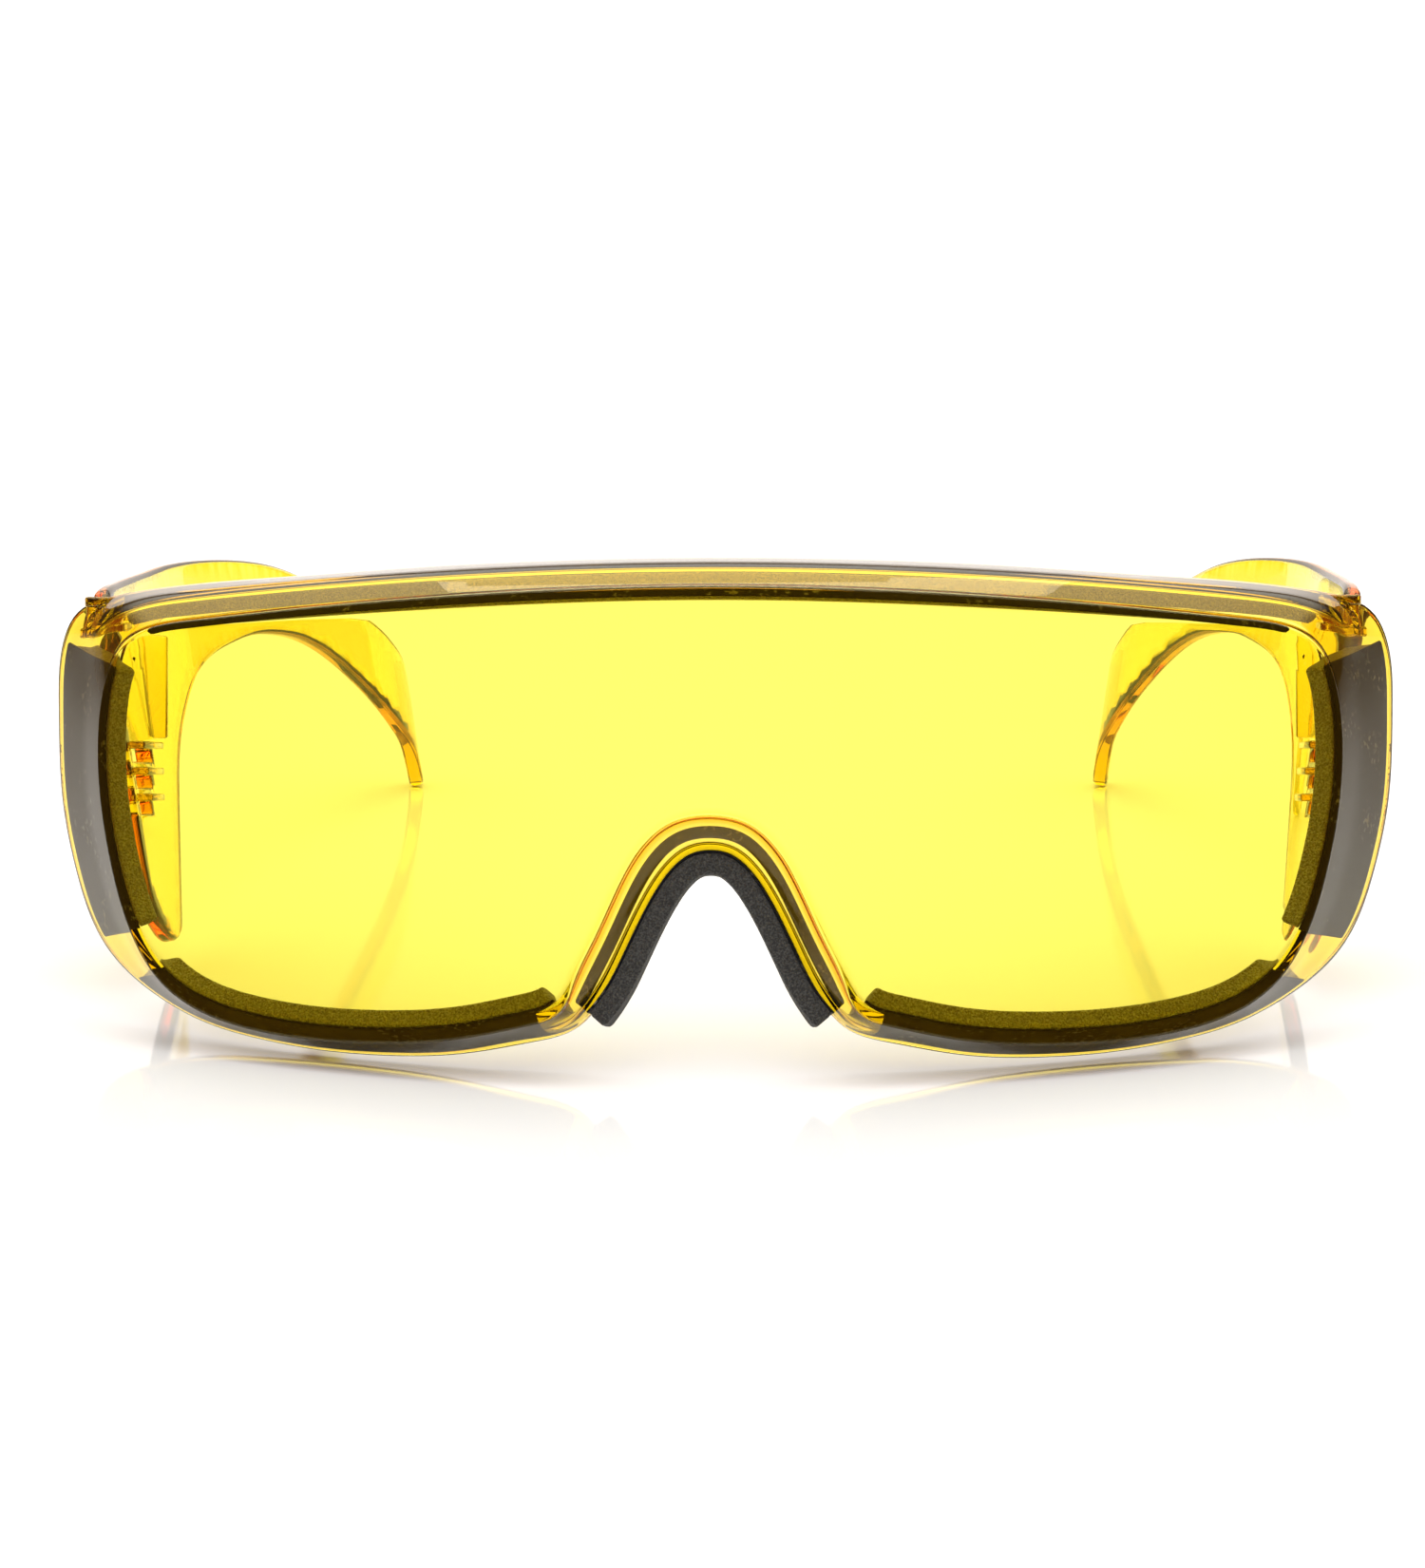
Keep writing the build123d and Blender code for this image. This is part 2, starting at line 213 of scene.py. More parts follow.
def patch(ring, columns, rows, on_surface):
    """Grid over a closed outline with four sides of columns, rows, columns and rows steps. A
    Coons patch: each point is the sum of the two straight blends between opposite sides less
    the blend of the corners, then laid on the surface."""
    a, b, c = columns, columns + rows, 2 * columns + rows
    top, right = ring[:a + 1], ring[a:b + 1]
    bottom, left = ring[b:c + 1][::-1], np.vstack([ring[c:], ring[:1]])[::-1]
    u = np.linspace(0, 1, columns + 1)[:, None, None]
    v = np.linspace(0, 1, rows + 1)[None, :, None]
    sides = (1 - v) * top[:, None] + v * bottom[:, None] + (1 - u) * left[None] + u * right[None]
    corners = ((1 - u) * (1 - v) * top[0] + u * (1 - v) * top[-1]
               + (1 - u) * v * bottom[0] + u * v * bottom[-1])
    return on_surface(sides - corners)


def on_cylinder(radius):
    """Keeps x and z and sets y on the cylinder about the lens's axis."""
    def lay(points):
        points = points.copy()
        points[..., 1] = lens_depth(points[..., 0], radius)
        return points
    return lay


def grid_faces(across, along, offset=0, wrap_across=False, wrap_along=False):
    """Quads of a grid of across by along points stored row after row."""
    i = np.arange(across if wrap_across else across - 1)
    j = np.arange(along if wrap_along else along - 1)
    i, j = [part.ravel() for part in np.meshgrid(i, j, indexing="ij")]
    i2, j2 = (i + 1) % across, (j + 1) % along
    return offset + np.stack([i * along + j, i2 * along + j, i2 * along + j2, i * along + j2], 1)


def piece(name, parts, material, body, faces=()):
    """A smooth mesh object in the CAD frame from (points, polygons) parts in lens millimetres.
    Its doubles are merged and its normals turned outwards. The attribute "edge" is 0.5 on
    the points of parts, or their own third entry, and 0 on those of faces."""
    merge = 1e-7
    points, polygons, edge, start = [], [], [], 0
    for level, group in ((0.5, parts), (0.0, faces)):
        for part_points, part_polygons, *own in group:
            points.append(part_points.reshape(-1, 3))
            polygons += (part_polygons + start).tolist()
            edge.append(np.broadcast_to(own[0] if own else level, part_points.shape[:-1]).ravel())
            start += len(points[-1])
    mesh = bpy.data.meshes.new(name)
    mesh.from_pydata(place(np.vstack(points)).tolist(), [], polygons)
    mesh.attributes.new("edge", "FLOAT", "POINT").data.foreach_set("value", np.concatenate(edge))
    work = bmesh.new()
    work.from_mesh(mesh)
    bmesh.ops.remove_doubles(work, verts=work.verts, dist=merge)
    bmesh.ops.dissolve_degenerate(work, edges=work.edges, dist=merge)
    bmesh.ops.recalc_face_normals(work, faces=work.faces)
    work.to_mesh(mesh)
    work.free()
    mesh.shade_smooth()
    mesh.materials.append(material)
    made = bpy.data.objects.new(name, mesh)
    bpy.context.scene.collection.objects.link(made)
    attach(made, body)
    return made


def new_material(name):
    """A material with its node tree, its Principled shader and its output."""
    material = bpy.data.materials.new(name)
    material.use_nodes = True
    nodes = material.node_tree.nodes
    return material, nodes, material.node_tree.links, nodes["Principled BSDF"], nodes["Material Output"]


def noise(nodes, links, scale, detail):
    """A noise texture on object coordinates."""
    where = nodes.new("ShaderNodeTexCoord")
    texture = nodes.new("ShaderNodeTexNoise")
    texture.inputs["Scale"].default_value = scale
    texture.inputs["Detail"].default_value = detail
    links.new(where.outputs["Object"], texture.inputs["Vector"])
    return texture


def ramp(nodes, links, source, low, high, positions=(0.0, 1.0)):
    """A colour ramp between two colours or grey values."""
    made = nodes.new("ShaderNodeValToRGB")
    for element, position, value in zip(made.color_ramp.elements, positions, (low, high)):
        element.position = position
        element.color = (*value, 1) if hasattr(value, "__len__") else (value, value, value, 1)
    links.new(source, made.inputs["Fac"])
    return made.outputs["Color"]


def polycarbonate():
    """Clear yellow polycarbonate: the colour is in its depth, so thin walls are lemon and long paths go
    amber, and the "edge" attribute deepens it from white through gold to amber. The moulded surface has
    the tool's faint waviness and handling haze."""
    material, nodes, links, shader, output = new_material("yellow_polycarbonate")
    edge = nodes.new("ShaderNodeAttribute")
    edge.attribute_name = "edge"
    tint = ramp(nodes, links, edge.outputs["Fac"], (1, 1, 1), (1, 0.38, 0.02))
    middle = tint.node.color_ramp.elements.new(0.5)
    middle.color = (1, 0.83, 0.3, 1)
    links.new(tint, shader.inputs["Base Color"])
    shader.inputs["Transmission Weight"].default_value = 1
    shader.inputs["IOR"].default_value = 1.586
    shader.inputs["Specular Tint"].default_value = (1.0, 0.8, 0.4, 1)
    haze = noise(nodes, links, 90, 5)
    roughness = ramp(nodes, links, haze.outputs["Fac"], 0.0, 0.035, (0.45, 0.8))
    links.new(roughness, shader.inputs["Roughness"])
    wave = noise(nodes, links, 55, 1)
    bump = nodes.new("ShaderNodeBump")
    bump.inputs["Strength"].default_value = 0.03
    bump.inputs["Distance"].default_value = 0.0004
    links.new(wave.outputs["Fac"], bump.inputs["Height"])
    links.new(bump.outputs["Normal"], shader.inputs["Normal"])
    depth = nodes.new("ShaderNodeVolumeAbsorption")
    depth.inputs["Color"].default_value = (0.9965, 0.946, 0.0, 1)
    depth.inputs["Density"].default_value = 900
    links.new(depth.outputs["Volume"], output.inputs["Volume"])
    return material


yellow = polycarbonate()


def ring_distances():
    """Distances along the ridge for the lens's four sides, from the -X upper corner round."""
    upper, lower = distance(UPPER_CORNER), distance(LOWER_CORNER)
    whole = KNOTS[-1]
    sides = [(-upper, upper, LENS_COLUMNS), (upper, lower, LENS_ROWS),
             (lower, whole - lower, LENS_COLUMNS), (whole - lower, whole - upper, LENS_ROWS)]
    return np.concatenate([np.linspace(a, b, n + 1)[:-1] for a, b, n in sides])


def bump_share(at, first, last, ease):
    """1 between two distances along the ridge and 0 outside them, eased by 3t^2 - 2t^3."""
    t = np.clip(np.minimum(at - first, last - at) / ease + 0.5, 0, 1)
    return (3 * t**2 - 2 * t**3)[:, None]


def between(row, first, last, ease):
    """1 between two rows and 0 outside them, with straight ramps of ease rows just inside."""
    return np.clip((row - first) / ease, 0, 1) * np.clip((last - row) / ease, 0, 1)


def lens_front():
    """The lens's two faces as patches, and between them the strip over the ridge, out along the
    flange, round the rim and back inside. The root is where the flange's inner face meets the
    lens's inner cylinder, found by Newton's steps along the front leg."""
    ridge, bend, rim, outward, (front_in, rear_in, _) = flange_at(ring_distances())
    outer, inner = on_cylinder(LENS_RADIUS), on_cylinder(LENS_RADIUS - LENS_WALL)
    middle_in = unit(front_in + rear_in)
    foot = ridge + front_in * FLANGE_WALL
    leg = unit(bend - ridge)
    reach = np.full((len(leg), 1), LENS_WALL)
    for _ in range(6):
        point = foot + leg * reach
        off = np.hypot(point[:, 0], point[:, 1] - LENS_RADIUS) - (LENS_RADIUS - LENS_WALL)
        radial = np.stack([point[:, 0], point[:, 1] - LENS_RADIUS], 1)
        slope = np.sum(radial * leg[:, :2], 1) / np.linalg.norm(radial, axis=1)
        reach -= (off / slope)[:, None]
    root = foot + leg * reach
    lip = outer(ridge + outward * RIDGE_LIP)
    back_of_lip = lip + np.array([0, LIP_DEPTH, 0])
    junction = ridge + leg * LIP_DEPTH * JUNCTION_DEPTH
    corners = [outer(ridge - outward * FACE_INSET), lip, back_of_lip, junction, bend, rim,
               rim + rear_in * FLANGE_WALL, bend + middle_in * FLANGE_WALL, root,
               inner(root - outward * BACK_INSET)]
    nose_start, nose_end = distance(NOSE_START), distance(2 * LAST - NOSE_START)
    nose = bump_share(ring_distances(), nose_start, nose_end, NOSE_EASE)
    cuts = [cut + (nose_cut - cut) * nose for cut, nose_cut in zip(EDGE_CUTS, NOSE_CUTS)]
    strip = rounded(corners, cuts, ARC_STEPS)
    face = patch(strip[0], LENS_COLUMNS, LENS_ROWS, outer)
    back = patch(strip[-1], LENS_COLUMNS, LENS_ROWS, inner)
    faces = grid_faces(LENS_COLUMNS + 1, LENS_ROWS + 1)
    strip_faces = grid_faces(len(strip), strip.shape[1], wrap_along=True)
    # Gold from the lip nearly to the root, and amber over the lip to the junction or a bit past.
    row = np.arange(len(strip))[:, None]
    gold_rows, amber_rows = (5, len(strip) - 9), (9, 26 + 6 * nose[:, 0])
    edge = 0.5 * between(row, *gold_rows, 3) + 0.5 * between(row, *amber_rows, 2)
    return [(face, faces), (back, faces)], [(strip, strip_faces, edge)]


faces, parts = lens_front()
front = piece("lens_front", parts, yellow, "front", faces)
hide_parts("front_lens")


# ---------------------------------------------------------------------------------------------
# Hinge lugs
# Two ears and their root, moulded in one with the lens front at each upper corner. The ears are
# bored for the pin and the temple's knuckle turns between them.
# ---------------------------------------------------------------------------------------------

LUG_RADIUS, LUG_ROOT = 2.7, 7.0
EARS = [(49.4, 50.5), (53.2, 54.5)]
EAR_SOFTEN, BLOCK_SOFTEN = 0.35, 0.1
PIN_RADIUS, PRESS_FIT = 1.45, 0.02
# The block between the ears: its bore, how much slimmer than they it is, its reach and half
# depth, how far behind the root it stands and how far it runs into the ears.
BLOCK_BORE, BLOCK_SLIMMER, BLOCK_REACH = 0.5, 0.3, 1.55
BLOCK_HALF, BLOCK_BACK, BLOCK_LAP = 1.5, 1.6, 0.2
LUG_TINT = 0.2
SIDES = (("left", 1), ("right", -1))


def round_bar(bore, half_width, root, samples=96):
    """Inner circle and outer outline about the hinge axis: a half circle of the half width on
    the rear, with straight sides that run forward to the root. Outline points keep their angle."""
    angle = np.linspace(0, 2 * np.pi, samples, endpoint=False)
    direction = np.stack([np.cos(angle), np.sin(angle), 0 * angle], 1)
    to_side = half_width / np.maximum(np.abs(direction[:, 0]), 1e-9)
    to_front = root / np.maximum(-direction[:, 1], 1e-9)
    reach = np.where(direction[:, 1] < 0, np.minimum(to_side, to_front), half_width)
    return direction * bore, direction * reach[:, None]


def washer(inner, outer, bottom, top, soften, centre):
    """A ring swept round the hinge axis: its section runs inner, outer, outer, inner from bottom
    to top with softened corners."""
    low, high = np.array([0, 0, bottom]), np.array([0, 0, top])
    corners = [inner + (low + high) / 2, inner + low, outer + low, outer + high, inner + high,
               inner + (low + high) / 2]
    at_bore = soften * 0.4
    rows = rounded(corners, (at_bore, soften, soften, at_bore), 4, 1)
    return centre + rows[:-1], grid_faces(len(rows) - 1, len(inner), wrap_across=True, wrap_along=True)


def lugs():
    """Both ears of one corner and the block that joins them, in front of the knuckle."""
    centre = np.array([HINGE_POINT[0], HINGE_POINT[1], 0])
    inner, outer = round_bar(PIN_RADIUS + PRESS_FIT, LUG_RADIUS, LUG_ROOT)
    parts = [washer(inner, outer, low, high, EAR_SOFTEN, centre) for low, high in EARS]
    block_in, block_out = round_bar(BLOCK_BORE, LUG_RADIUS - BLOCK_SLIMMER, BLOCK_REACH)
    block_out[:, 1] = np.clip(block_out[:, 1], -BLOCK_HALF, BLOCK_HALF)
    bottom, top = EARS[0][1] - BLOCK_LAP, EARS[1][0] + BLOCK_LAP
    root = centre - np.array([0, LUG_ROOT - BLOCK_BACK, 0])
    parts.append(washer(block_in, block_out, bottom, top, BLOCK_SOFTEN, root))
    return [(points, faces, LUG_TINT) for points, faces in parts]


def turned(parts, side):
    """Parts drawn on the +X side, with x multiplied by the side, 1 or -1."""
    return [(points * np.array([side, 1, 1]), *rest) for points, *rest in parts]


for side_name, side in SIDES:
    piece(side_name + "_lugs", turned(lugs(), side), yellow, "front")


# ---------------------------------------------------------------------------------------------
# Foam strips and their adhesive films
# Closed-cell black foam, die-cut from sheet with its adhesive and pressed on: one strip under
# the brow shelf, one in each side wing, one in each lower flange and one over the nose bridge.
# ---------------------------------------------------------------------------------------------

ADHESIVE, BOND_GAP = 0.2, 0.03
WETTED = 0.03        # the film sinks this far into the wall, so that no air is left between them
FOAM_SOFTEN, FOAM_END, FOAM_GRAIN = 0.35, 0.8, 0.012
FILM_SOFTEN, FILM_END = 0.06, 0.1
# Adhesive that has crept forward from a strip on the inside of the front leg: the distances from
# the ridge at which it starts and ends. The lower strips have none.
CREEP = {"brow": (1.5, 2.7), "left_side": (1.5, 2.5), "nose": (3.2, 4.9)}
CREEP_THICKNESS, CREEP_SOFTEN, CREEP_END = 0.12, 0.04, 0.6
# First and last station, distance kept from the ridge or the bend and from the rim, thickness,
# and where the strip lies: on the whole flange, or on its rear leg, inside or outside.
STRIPS = {
    "brow": (-5.0, 5.0, 2.0, 0.8, 2.0, "rear"),
    "left_side": (7.0, 11.0, 1.7, 1.0, 2.6, "whole"),
    "left_lower": (12.0, 19.0, 1.5, 0.5, 2.2, "whole"),
    "nose": (19.5, 2 * LAST - 19.5, 0.3, 0.4, 2.5, "outside"),
}


def strip_rails(layout, near, far, samples):
    """Corner rails of a strip between two distances from the flange's outside: near front, near
    rear, far rear and far front."""
    first, last, start, margin, _, leg = layout
    at = np.linspace(distance(first), distance(last), samples)
    ridge, bend, rim, _, (_, rear_in, whole_in) = flange_at(at)
    foot, normal = (ridge, whole_in) if leg == "whole" else (bend, rear_in)
    along = unit(rim - foot)
    front_end, rear_end = foot + along * start, rim - along * margin
    return [front_end + normal * near, rear_end + normal * near,
            rear_end + normal * far, front_end + normal * far]


def creep_rails(layout, start, end, samples):
    """Corner rails of the crept adhesive, between two distances along the front leg."""
    first, last = layout[:2]
    at = np.linspace(distance(first), distance(last), samples)
    ridge, bend, _, _, (front_in, _, _) = flange_at(at)
    along = unit(bend - ridge)
    near, far = front_in * (FLANGE_WALL - WETTED), front_in * (FLANGE_WALL + CREEP_THICKNESS)
    section = ((start, near), (end, near), (end, far), (start, far))
    return [ridge + along * reach + off for reach, off in section]


def bar(rails, soften, end_round, grain=0.0):
    """A strip with softened long edges. Near each end the section shrinks as the root of 1 - s^2
    does, s from 0 to 1 over the end's rounding, by more the larger that rounding is, and a fan
    closes it. Grain moves each point in or out at random."""
    a, b, c, d = rails
    middle = (a + b) / 2
    rows = rounded([middle, b, c, d, a, middle], (soften,) * 4, 5, 5)[:-1]
    centre = (a + b + c + d) / 4
    length = np.concatenate([[0], np.cumsum(np.linalg.norm(np.diff(centre, axis=0), axis=1))])
    to_end = np.minimum(length, length[-1] - length)
    s = 1 - np.clip(to_end / end_round, 0, 1)
    half_section, steepest = 2.2, 0.998
    shrink = 1 - (1 - np.sqrt(1 - s**2 * steepest)) * end_round / half_section
    rows = centre + (rows - centre) * shrink[None, :, None]
    if grain:
        random = np.random.default_rng(1)
        rows += unit(rows - centre) * random.normal(0, grain, rows.shape[:2])[..., None]
    caps = [np.repeat(centre[None, [i]], len(rows), 0) for i in (0, -1)]
    points = np.concatenate([caps[0], rows, caps[1]], 1)
    return points, grid_faces(points.shape[0], points.shape[1], wrap_across=True)


def foam_material(name, dark, pale):
    """Closed-cell foam: cut cells make a fine dark grain, with paler cell walls. The tones are painted
    light: paler than the black foam's own, so that the strips inside the lens are lifted out of its
    shade and still show through the yellow lens."""
    material, nodes, links, shader, _ = new_material(name)
    cells = nodes.new("ShaderNodeTexVoronoi")
    where = nodes.new("ShaderNodeTexCoord")
    cells.inputs["Scale"].default_value = 3200
    links.new(where.outputs["Object"], cells.inputs["Vector"])
    blotch = noise(nodes, links, 4200, 3)
    colour = nodes.new("ShaderNodeMix")
    colour.data_type = "RGBA"
    colour.inputs["A"].default_value = (dark, dark, dark * 0.97, 1)
    colour.inputs["B"].default_value = (pale, pale, pale * 0.94, 1)
    share = ramp(nodes, links, blotch.outputs["Fac"], 0.0, 1.0, (0.4, 0.72))
    links.new(share, colour.inputs["Factor"])
    links.new(colour.outputs["Result"], shader.inputs["Base Color"])
    shader.inputs["Roughness"].default_value = 0.95
    shader.inputs["Specular IOR Level"].default_value = 0.2
    shader.inputs["Sheen Weight"].default_value = 0.15
    shader.inputs["Sheen Roughness"].default_value = 0.6
    bump = nodes.new("ShaderNodeBump")
    bump.inputs["Strength"].default_value = 0.8
    bump.inputs["Distance"].default_value = 0.0002
    links.new(cells.outputs["Distance"], bump.inputs["Height"])
    links.new(bump.outputs["Normal"], shader.inputs["Normal"])
    return material


def adhesive_material():
    """Black acrylic adhesive as it looks through the plastic: wetted and glossy where it bonds,
    with trapped air in small pale flecks and a few larger patches."""
    material, nodes, links, shader, _ = new_material("black_adhesive")
    fleck = noise(nodes, links, 1400, 2)
    where = noise(nodes, links, 160, 3)
    both = nodes.new("ShaderNodeMath")
    both.operation = "MULTIPLY"
    links.new(ramp(nodes, links, fleck.outputs["Fac"], 0.0, 1.0, (0.56, 0.66)), both.inputs[0])
    links.new(ramp(nodes, links, where.outputs["Fac"], 0.0, 1.0, (0.52, 0.68)), both.inputs[1])
    colour = nodes.new("ShaderNodeMix")
    colour.data_type = "RGBA"
    colour.inputs["A"].default_value = (0.009, 0.009, 0.009, 1)
    colour.inputs["B"].default_value = (0.16, 0.15, 0.13, 1)
    links.new(both.outputs["Value"], colour.inputs["Factor"])
    links.new(colour.outputs["Result"], shader.inputs["Base Color"])
    links.new(ramp(nodes, links, where.outputs["Fac"], 0.35, 0.7), shader.inputs["Roughness"])
    shader.inputs["Specular IOR Level"].default_value = 0.1
    return material


# One black foam in two copies, lit and shaded: the paler copy is painted light, lifting the strips
# inside the lens out of the shade of the lens and brow; the darker copy goes on the nose strip, which
# is seen directly.
foam = foam_material("black_foam", 0.16, 0.42)
darker_nose_foam = foam_material("black_foam_darker_copy", 0.024, 0.085)
adhesive = adhesive_material()


for strip_name, layout in STRIPS.items():
    samples = int(40 + 30 * (layout[1] - layout[0]))
    side_sign, wall = (-1, 0.0) if layout[5] == "outside" else (1, FLANGE_WALL)
    foam_near = wall + ADHESIVE + 2 * BOND_GAP
    film_near = wall - WETTED
    foam_far = foam_near + layout[4]
    foam_rails = strip_rails(layout, side_sign * foam_near, side_sign * foam_far, samples)
    film_rails = strip_rails(layout, side_sign * film_near, side_sign * (wall + ADHESIVE), samples)
    foams = [bar(foam_rails, FOAM_SOFTEN, FOAM_END, FOAM_GRAIN)]
    films = [bar(film_rails, FILM_SOFTEN, FILM_END)]
    if strip_name in CREEP:
        crept = creep_rails(layout, *CREEP[strip_name], samples)
        films.append(bar(crept, CREEP_SOFTEN, CREEP_END))
    places = [(strip_name, 1)]
    if strip_name.startswith("left"):
        places.append((strip_name.replace("left", "right"), -1))
    for label, side in places:
        # The nose strip takes the darker foam copy; the other strips take the paler copy, painted light
        # against the lens's shade.
        foam_tone_copy = darker_nose_foam if label == "nose" else foam
        strip = piece(label + "_foam_strip", turned(foams, side), foam_tone_copy, "front")
        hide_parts(label + "_foam")
        film = piece(label + "_film", turned(films, side), adhesive, "front")
        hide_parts(label + "_adhesive")


# ---------------------------------------------------------------------------------------------
# Temples
# Each is one moulding in the same polycarbonate: a thin arm that hooks down to its tail, a side
# shield with three vent louvres and a rib inside it, and a knuckle that turns between the ears.
# ---------------------------------------------------------------------------------------------

TEMPLE_WALL, TEMPLE_TILT, TEMPLE_MID = 2.2, 0.15, 35.0
# The panel's middle in plan at half height, and its outline from the side, in y and z.
TEMPLE_PLAN = np.array([(75.2, 38), (75.1, 50), (74.6, 62), (73.3, 76), (69.9, 91), (65.2, 104),
                        (60.2, 120), (55.8, 137), (52.9, 150), (52.1, 160), (53.4, 172)])
TEMPLE_OUTLINE = np.array([
    (41.5, 55.2), (43, 55.9), (50, 57.0), (59, 58.1), (69, 59.3), (80, 60.8), (91, 61.9),
    (103, 62.4), (113, 61.9), (122, 60.6), (132, 58.8), (141, 56.4), (148, 54.5), (154, 52.4),
    (158.8, 50.6), (161.8, 48.3), (163.2, 46), (164.2, 43.4), (165.6, 38), (166.8, 35),
    (167.3, 33.4), (166.9, 32), (165.4, 31.3), (163.6, 31.5), (162.2, 32.2), (158.6, 35.8),
    (152.5, 39.2), (144, 43.3), (137, 46.3), (124, 50.6), (116.5, 52), (109.5, 52.4), (103, 52.1),
    (97, 50.8), (90, 48.6), (84, 45.6), (79, 41.7), (73.5, 36.4), (66.6, 25), (60.6, 14.2),
    (59.5, 12.6), (57.8, 11.7), (54, 11.4), (49, 13.2), (45, 15.4), (42.6, 18), (41.6, 21),
    (41.1, 24.5), (41, 28), (41, 37), (41, 46), (41, 52), (41.1, 54.4)])
EDGE_ROUND, SLOT_ROUND, CORNER_ROUND = 0.75, 0.3, 0.5
OUTLINE_STEP = 0.9
LOUVRES = [(27.6 + 3.3 * i, 51.6 + 2.4 * i) for i in range(3)]   # slot's foot, and its rear end
LOUVRE_FRONT, LOUVRE_SLOT, BLADE_REACH, BLADE_WALL = 44.0, 1.7, 1.8, 1.0
BLADE_LAP, BLADE_GAP, BLADE_SOFTEN = 0.8, 0.05, 0.3
RIB_Y, RIB_BOTTOM, RIB_TOP = 58.6, 37.4, 50.6
RIB_LAP, RIB_SOFTEN = 0.5, 0.35
KNUCKLE_RADIUS, KNUCKLE_BOTTOM, KNUCKLE_TOP = 2.6, 50.8, 52.9
RUNNING_FIT, KNUCKLE_SOFTEN = 0.07, 0.3
TONGUE_X, TONGUE_Y = (76.95, 77.95), (36.0, 43.0)
# First, end and step of the grid of points inside the panel, in y and in z.
PANEL_GRID_Y, PANEL_GRID_Z = (41, 168, 1.5), (11, 63, 2.0)


def on_panel(flat, off):
    """Points of the panel at (y, z), moved off its middle surface along its normal, which is
    square to both slopes: x falls with y as the plan does and rises with z by the tilt."""
    y, z = flat[..., 0], flat[..., 1]
    middle = spline(TEMPLE_PLAN[:, :1], TEMPLE_PLAN[:, 1], y.ravel(), closed=False)
    step = 0.05
    nearby = spline(TEMPLE_PLAN[:, :1], TEMPLE_PLAN[:, 1], y.ravel() + step, closed=False)
    slope = ((nearby - middle) / step).reshape(y.shape)
    middle = middle.reshape(y.shape) + TEMPLE_TILT * (z - TEMPLE_MID)
    normal = unit(np.stack([np.ones_like(y), -slope, np.full_like(y, -TEMPLE_TILT)], -1))
    return np.stack([middle, y, z], -1) + normal * np.asarray(off)[..., None]


def moved_in(loop, amount):
    """A closed loop of (y, z) points moved to its left by amount."""
    along = unit(np.roll(loop, -1, 0) - np.roll(loop, 1, 0))
    return loop + np.stack([-along[:, 1], along[:, 0]], 1) * amount


def within(points, loop):
    """Whether each point lies in the loop: odd crossings of a ray towards +y."""
    y, z = points[:, :1], points[:, 1:]
    (y0, z0), (y1, z1) = loop.T, np.roll(loop, -1, 0).T
    crosses = (z0 > z) != (z1 > z)
    at = y0 + (z - z0) * (y1 - y0) / np.where(z1 == z0, 1e-12, z1 - z0)
    return (crosses & (y < at)).sum(1) % 2 == 1


def evenly(points, step):
    """Points about step apart on the closed spline through the given ones."""
    closing = np.linalg.norm(np.roll(points, -1, 0) - points, axis=1)
    knots = np.concatenate([[0], np.cumsum(closing)])
    return spline(points, knots, np.linspace(0, knots[-1], round(knots[-1] / step), endpoint=False))


def slot_loop(foot, rear):
    """A slot's outline, anticlockwise, with round corners."""
    turn = np.linspace(0, np.pi / 2, 6)
    ends = [(rear, foot + LOUVRE_SLOT, 0), (LOUVRE_FRONT, foot + LOUVRE_SLOT, 1),
            (LOUVRE_FRONT, foot, 2), (rear, foot, 3)]
    loop = []
    for y, z, quarter in ends:
        inward = np.array([(-1, -1), (1, -1), (1, 1), (-1, 1)][quarter]) * CORNER_ROUND
        angle = turn + quarter * np.pi / 2
        arc = CORNER_ROUND * np.stack([np.cos(angle), np.sin(angle)], 1)
        loop.append(np.array([y, z]) + inward + arc)
    return np.vstack(loop)


